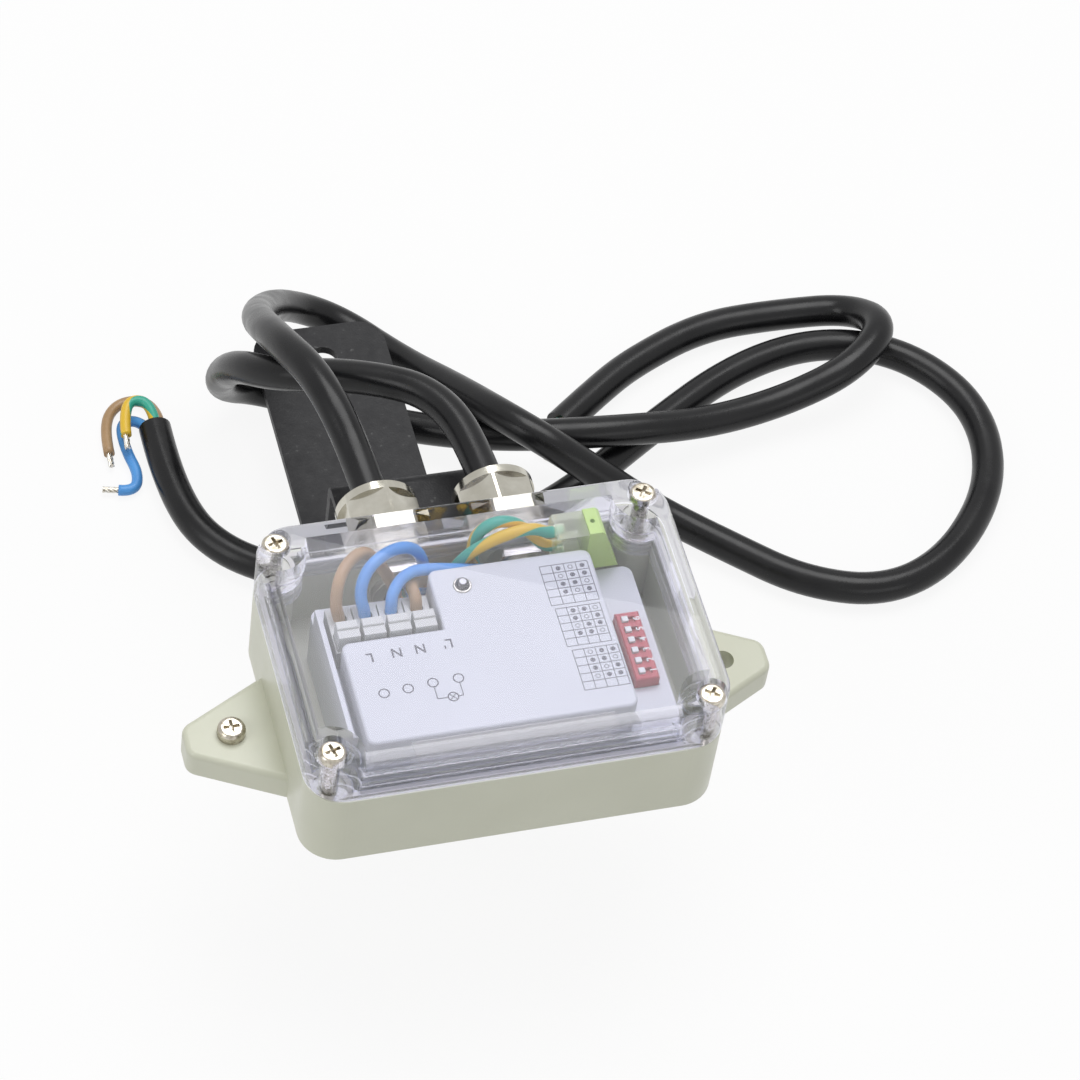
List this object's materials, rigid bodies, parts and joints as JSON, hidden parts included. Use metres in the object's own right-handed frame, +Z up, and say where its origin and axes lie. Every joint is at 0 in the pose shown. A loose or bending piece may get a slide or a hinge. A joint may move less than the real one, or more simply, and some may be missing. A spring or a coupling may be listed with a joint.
{
  "type": "boxed motion sensor switch with bracket",
  "caption": "Lighting control sensor module in a small splash-proof box with a clear lid, cable glands, two coiled cable tails and a Z-shaped steel bracket.",
  "frame": {"origin": "middle of the bracket's fixing hole, on the underside of the foot", "axes": "+X along the box, towards the end with the open lug hole; +Y from the box out along the glands to the bracket's foot; +Z up out of the clear lid"},
  "size_m": [0.2056, 0.1743, 0.0788],
  "materials": {
    "shell": "light beige ABS, fine satin",
    "gasket": "soft pale silicone",
    "lid_clear": "clear polycarbonate, polished",
    "nickel": "nickel plate on brass, bright",
    "screw_steel": "zinc-nickel plated steel",
    "washer": "black sealing washer",
    "seal": "black clamping seal",
    "bracket_paint": "matt black powder coat on steel",
    "module_white": "white, light gloss",
    "board": "green circuit board",
    "relay": "black relay case",
    "terminal": "cream nylon",
    "dip_red": "red",
    "dip_white": "white",
    "lens": "dark smoked lens",
    "label": "blank label",
    "splice_clear": "clear polycarbonate",
    "splice_lime": "lime green",
    "core_brown": "brown insulation",
    "core_blue": "blue insulation",
    "core_earth": "green and yellow striped insulation",
    "sheath": "black satin cable sheath",
    "tinned": "tinned strands"
  },
  "bodies": {
    "housing": {"base": "shell", "gasket": "gasket", "lug_screw": "screw_steel", "gland_bodies": "nickel", "gland_washers": "washer", "gland_seals": "seal", "gland_locknuts": "nickel", "bracket": "bracket_paint", "bracket_screws": "screw_steel", "bracket_nuts": "screw_steel", "module_tray": "module_white", "module_cover": "module_white", "circuit_board": "board", "relay": "relay", "antenna_board": "board", "terminal_block": "terminal", "dip_body": "dip_red", "light_sensor": "lens", "label_plate": "label", "splice_clear": "splice_clear", "splice_cap": "splice_lime", "wire_brown_left": "core_brown", "wire_blue_left": "core_blue", "wire_earth_left": "core_earth", "wire_brown_right": "core_brown", "wire_blue_right": "core_blue", "wire_earth_right": "core_earth", "cable_left": "sheath", "cable_right": "sheath", "left_end_earth": "core_earth", "left_end_blue": "core_blue", "left_end_brown": "core_brown", "right_end_earth": "core_earth", "right_end_blue": "core_blue", "right_end_brown": "core_brown", "left_end_tips": "tinned", "right_end_tips": "tinned"},
    "lid": {"lid": "lid_clear", "lid_screws": "screw_steel"},
    "dome_nut_left": {"dome_nut_left": "nickel"},
    "dome_nut_right": {"dome_nut_right": "nickel"},
    "button_1": {"terminal_button_1": "terminal"},
    "button_2": {"terminal_button_2": "terminal"},
    "button_3": {"terminal_button_3": "terminal"},
    "button_4": {"terminal_button_4": "terminal"},
    "slider_1": {"dip_slider_1": "dip_white"},
    "slider_2": {"dip_slider_2": "dip_white"},
    "slider_3": {"dip_slider_3": "dip_white"},
    "slider_4": {"dip_slider_4": "dip_white"},
    "slider_5": {"dip_slider_5": "dip_white"},
    "slider_6": {"dip_slider_6": "dip_white"}
  },
  "joints": [
    {"name": "lid_lift", "type": "slide", "parent": "housing", "child": "lid", "axis": [0, 0, 1], "range_m": [0, 0.04]},
    {"name": "dome_nut_left_turn", "type": "hinge", "parent": "housing", "child": "dome_nut_left", "pos_m": [-0.0095, -0.0836, 0.0465], "axis": [0, 1, 0], "continuous": true},
    {"name": "dome_nut_right_turn", "type": "hinge", "parent": "housing", "child": "dome_nut_right", "pos_m": [0.0148, -0.0836, 0.0465], "axis": [0, 1, 0], "continuous": true},
    {"name": "button_1_press", "type": "slide", "parent": "housing", "child": "button_1", "axis": [0, 0, -1], "range_m": [0, 0.0008], "stiffness_N_per_m": 300, "springref_m": -0.0004},
    {"name": "button_2_press", "type": "slide", "parent": "housing", "child": "button_2", "axis": [0, 0, -1], "range_m": [0, 0.0008], "stiffness_N_per_m": 300, "springref_m": -0.0004},
    {"name": "button_3_press", "type": "slide", "parent": "housing", "child": "button_3", "axis": [0, 0, -1], "range_m": [0, 0.0008], "stiffness_N_per_m": 300, "springref_m": -0.0004},
    {"name": "button_4_press", "type": "slide", "parent": "housing", "child": "button_4", "axis": [0, 0, -1], "range_m": [0, 0.0008], "stiffness_N_per_m": 300, "springref_m": -0.0004},
    {"name": "slider_1_move", "type": "slide", "parent": "housing", "child": "slider_1", "axis": [1, 0, 0], "range_m": [0, 0.0014]},
    {"name": "slider_2_move", "type": "slide", "parent": "housing", "child": "slider_2", "axis": [1, 0, 0], "range_m": [0, 0.0014]},
    {"name": "slider_3_move", "type": "slide", "parent": "housing", "child": "slider_3", "axis": [1, 0, 0], "range_m": [0, 0.0014]},
    {"name": "slider_4_move", "type": "slide", "parent": "housing", "child": "slider_4", "axis": [1, 0, 0], "range_m": [0, 0.0014]},
    {"name": "slider_5_move", "type": "slide", "parent": "housing", "child": "slider_5", "axis": [1, 0, 0], "range_m": [0, 0.0014]},
    {"name": "slider_6_move", "type": "slide", "parent": "housing", "child": "slider_6", "axis": [1, 0, 0], "range_m": [0, 0.0014]}
  ]
}
